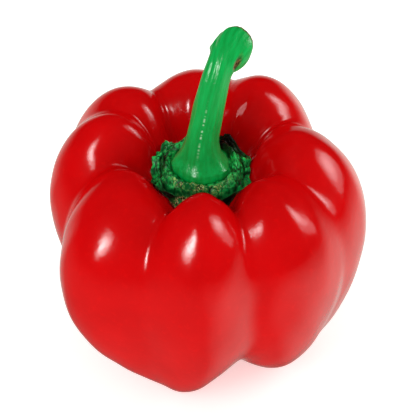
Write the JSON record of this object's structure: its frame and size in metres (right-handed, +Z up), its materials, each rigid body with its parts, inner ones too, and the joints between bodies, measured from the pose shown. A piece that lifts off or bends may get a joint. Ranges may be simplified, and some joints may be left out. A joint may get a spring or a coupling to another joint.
{
  "type": "bell pepper",
  "caption": "Ripe red bell pepper with a creased, lobed fruit, a green calyx in its well and a leaning green stem.",
  "frame": {"origin": "on the surface the pepper stands on, under the middle of its box", "axes": "+Z up, from the lobe tips to the stem; -Y towards the lobe that hangs lowest at the front; +X towards the side the stem leans to"},
  "size_m": [0.095, 0.0962, 0.1093],
  "materials": {
    "fruit_skin": "waxy gloss",
    "calyx_green": "rough, crumpled, with brown flecks",
    "stem_green": "smooth satin with fine ridges along it"
  },
  "bodies": {
    "root": {"fruit": "fruit_skin", "calyx": "calyx_green", "stem": "stem_green"}
  },
  "joints": []
}
